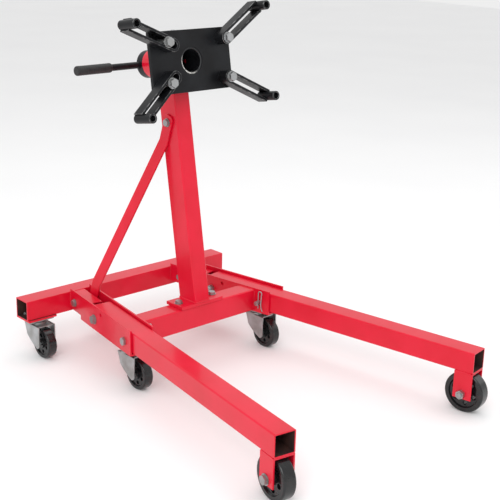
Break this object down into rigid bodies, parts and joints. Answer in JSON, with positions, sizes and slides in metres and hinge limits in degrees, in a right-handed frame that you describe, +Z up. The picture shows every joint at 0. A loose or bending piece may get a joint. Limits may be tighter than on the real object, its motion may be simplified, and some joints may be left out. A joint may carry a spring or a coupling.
{
  "type": "engine stand",
  "caption": "Folding wheeled engine stand: leaning post on a splayed base, turning head plate with slotted mounting arms and a tilt handle.",
  "frame": {"origin": "on the floor, under the middle of the whole stand", "axes": "+Z up; the stand faces -Y, where the head plate and the legs point; +X is to the right seen from the front"},
  "size_m": [0.6618, 0.9628, 0.8669],
  "materials": {
    "red_paint": "glossy powder coat",
    "black_paint": "semi-gloss powder coat",
    "zinc_steel": "bright zinc plate",
    "black_wheel": "satin",
    "black_grip": "matt"
  },
  "bodies": {
    "base": {"rear_beam": "red_paint", "cross_beam": "red_paint", "base_plate": "red_paint", "base_bolt_left": "zinc_steel", "base_bolt_right": "zinc_steel", "post": "red_paint", "brace_left": "red_paint", "brace_right": "red_paint", "brace_bolt": "zinc_steel", "channel_left": "red_paint", "channel_right": "red_paint", "stub_left": "red_paint", "stub_right": "red_paint", "stub_bolt_left": "zinc_steel", "stub_bolt_right": "zinc_steel", "pivot_bolt_left": "zinc_steel", "pivot_bolt_right": "zinc_steel", "lock_pin_left": "zinc_steel", "lock_pin_right": "zinc_steel", "head_tube": "red_paint", "caster_plate_rear_left": "zinc_steel", "caster_plate_rear_right": "zinc_steel", "caster_plate_mid_left": "zinc_steel", "caster_plate_mid_right": "zinc_steel"},
    "leg_left": {"leg_left": "red_paint", "front_fork_left": "red_paint", "front_axle_left": "zinc_steel"},
    "front_wheel_left": {"front_wheel_left": "black_wheel"},
    "clip_left": {"clip_left": "zinc_steel"},
    "leg_right": {"leg_right": "red_paint", "front_fork_right": "red_paint", "front_axle_right": "zinc_steel"},
    "front_wheel_right": {"front_wheel_right": "black_wheel"},
    "clip_right": {"clip_right": "zinc_steel"},
    "caster_rear_left": {"caster_fork_rear_left": "zinc_steel", "caster_axle_rear_left": "zinc_steel"},
    "caster_wheel_rear_left": {"caster_wheel_rear_left": "black_wheel"},
    "caster_rear_right": {"caster_fork_rear_right": "zinc_steel", "caster_axle_rear_right": "zinc_steel"},
    "caster_wheel_rear_right": {"caster_wheel_rear_right": "black_wheel"},
    "caster_mid_left": {"caster_fork_mid_left": "zinc_steel", "caster_axle_mid_left": "zinc_steel"},
    "caster_wheel_mid_left": {"caster_wheel_mid_left": "black_wheel"},
    "caster_mid_right": {"caster_fork_mid_right": "zinc_steel", "caster_axle_mid_right": "zinc_steel"},
    "caster_wheel_mid_right": {"caster_wheel_mid_right": "black_wheel"},
    "index_pin": {"index_pin": "zinc_steel"},
    "head": {"face_plate": "black_paint", "spindle": "black_paint", "rear_collar": "black_paint"},
    "handle": {"handle_bar": "black_paint", "handle_grip": "black_grip"},
    "arm_bolt_upper_left": {"arm_bolt_upper_left": "zinc_steel"},
    "arm_upper_left": {"arm_upper_left": "black_paint"},
    "arm_bolt_upper_right": {"arm_bolt_upper_right": "zinc_steel"},
    "arm_upper_right": {"arm_upper_right": "black_paint"},
    "arm_bolt_lower_right": {"arm_bolt_lower_right": "zinc_steel"},
    "arm_lower_right": {"arm_lower_right": "black_paint"},
    "arm_bolt_lower_left": {"arm_bolt_lower_left": "zinc_steel"},
    "arm_lower_left": {"arm_lower_left": "black_paint"}
  },
  "joints": [
    {"name": "leg_fold_left", "type": "hinge", "parent": "base", "child": "leg_left", "pos_m": [-0.18095, 0.28783, 0.122], "axis": [-0.9874, 0.1582, 0], "range_deg": [0, 62]},
    {"name": "front_wheel_spin_left", "type": "hinge", "parent": "leg_left", "child": "front_wheel_left", "pos_m": [-0.29636, -0.43268, 0.0475], "axis": [0.9874, -0.1582, 0], "continuous": true},
    {"name": "clip_pull_left", "type": "slide", "parent": "base", "child": "clip_left", "axis": [0, 0, 1], "range_m": [0, 0.045]},
    {"name": "leg_fold_right", "type": "hinge", "parent": "base", "child": "leg_right", "pos_m": [0.18095, 0.28783, 0.122], "axis": [-0.9874, -0.1582, 0], "range_deg": [0, 62]},
    {"name": "front_wheel_spin_right", "type": "hinge", "parent": "leg_right", "child": "front_wheel_right", "pos_m": [0.29636, -0.43268, 0.0475], "axis": [0.9874, 0.1582, 0], "continuous": true},
    {"name": "clip_pull_right", "type": "slide", "parent": "base", "child": "clip_right", "axis": [0, 0, 1], "range_m": [0, 0.045]},
    {"name": "caster_swivel_rear_left", "type": "hinge", "parent": "base", "child": "caster_rear_left", "pos_m": [-0.272, 0.45236, 0], "axis": [0, 0, 1], "continuous": true},
    {"name": "caster_wheel_spin_rear_left", "type": "hinge", "parent": "caster_rear_left", "child": "caster_wheel_rear_left", "pos_m": [-0.272, 0.41835, 0.0375], "axis": [1, 0, 0], "continuous": true},
    {"name": "caster_swivel_rear_right", "type": "hinge", "parent": "base", "child": "caster_rear_right", "pos_m": [0.272, 0.45236, 0], "axis": [0, 0, 1], "continuous": true},
    {"name": "caster_wheel_spin_rear_right", "type": "hinge", "parent": "caster_rear_right", "child": "caster_wheel_rear_right", "pos_m": [0.272, 0.41835, 0.0375], "axis": [1, 0, 0], "continuous": true},
    {"name": "caster_swivel_mid_left", "type": "hinge", "parent": "base", "child": "caster_mid_left", "pos_m": [-0.20152, 0.15937, 0], "axis": [0, 0, 1], "continuous": true},
    {"name": "caster_wheel_spin_mid_left", "type": "hinge", "parent": "caster_mid_left", "child": "caster_wheel_mid_left", "pos_m": [-0.20152, 0.12537, 0.0375], "axis": [1, 0, 0], "continuous": true},
    {"name": "caster_swivel_mid_right", "type": "hinge", "parent": "base", "child": "caster_mid_right", "pos_m": [0.20152, 0.15937, 0], "axis": [0, 0, 1], "continuous": true},
    {"name": "caster_wheel_spin_mid_right", "type": "hinge", "parent": "caster_mid_right", "child": "caster_wheel_mid_right", "pos_m": [0.20152, 0.12537, 0.0375], "axis": [1, 0, 0], "continuous": true},
    {"name": "index_pin_drop", "type": "slide", "parent": "base", "child": "index_pin", "axis": [0, 0.1685, 0.9857], "range_m": [-0.008, 0]},
    {"name": "head_turn", "type": "hinge", "parent": "base", "child": "head", "pos_m": [0, 0.26657, 0.72275], "axis": [0, 0.9857, -0.1685], "continuous": true},
    {"name": "handle_slide", "type": "slide", "parent": "head", "child": "handle", "axis": [1, 0, 0], "range_m": [-0.0075, 0.08]},
    {"name": "arm_swing_upper_left", "type": "hinge", "parent": "head", "child": "arm_bolt_upper_left", "pos_m": [-0.087, 0.195, 0.78064], "axis": [0, 0.9857, -0.1685], "range_deg": [-40, 60]},
    {"name": "arm_slide_upper_left", "type": "slide", "parent": "arm_bolt_upper_left", "child": "arm_upper_left", "axis": [-0.9135, 0.0685, 0.4009], "range_m": [-0.054, 0.018]},
    {"name": "arm_swing_upper_right", "type": "hinge", "parent": "head", "child": "arm_bolt_upper_right", "pos_m": [0.087, 0.195, 0.78064], "axis": [0, -0.9857, 0.1685], "range_deg": [-40, 60]},
    {"name": "arm_slide_upper_right", "type": "slide", "parent": "arm_bolt_upper_right", "child": "arm_upper_right", "axis": [0.848, 0.0893, 0.5223], "range_m": [-0.072, 0]},
    {"name": "arm_swing_lower_right", "type": "hinge", "parent": "head", "child": "arm_bolt_lower_right", "pos_m": [0.087, 0.17984, 0.69192], "axis": [0, 0.9857, -0.1685], "range_deg": [-40, 60]},
    {"name": "arm_slide_lower_right", "type": "slide", "parent": "arm_bolt_lower_right", "child": "arm_lower_right", "axis": [0.8988, -0.0739, -0.4321], "range_m": [-0.072, 0]},
    {"name": "arm_swing_lower_left", "type": "hinge", "parent": "head", "child": "arm_bolt_lower_left", "pos_m": [-0.087, 0.17984, 0.69192], "axis": [0, -0.9857, 0.1685], "range_deg": [-40, 60]},
    {"name": "arm_slide_lower_left", "type": "slide", "parent": "arm_bolt_lower_left", "child": "arm_lower_left", "axis": [-0.766, -0.1083, -0.6336], "range_m": [-0.054, 0.018]}
  ]
}
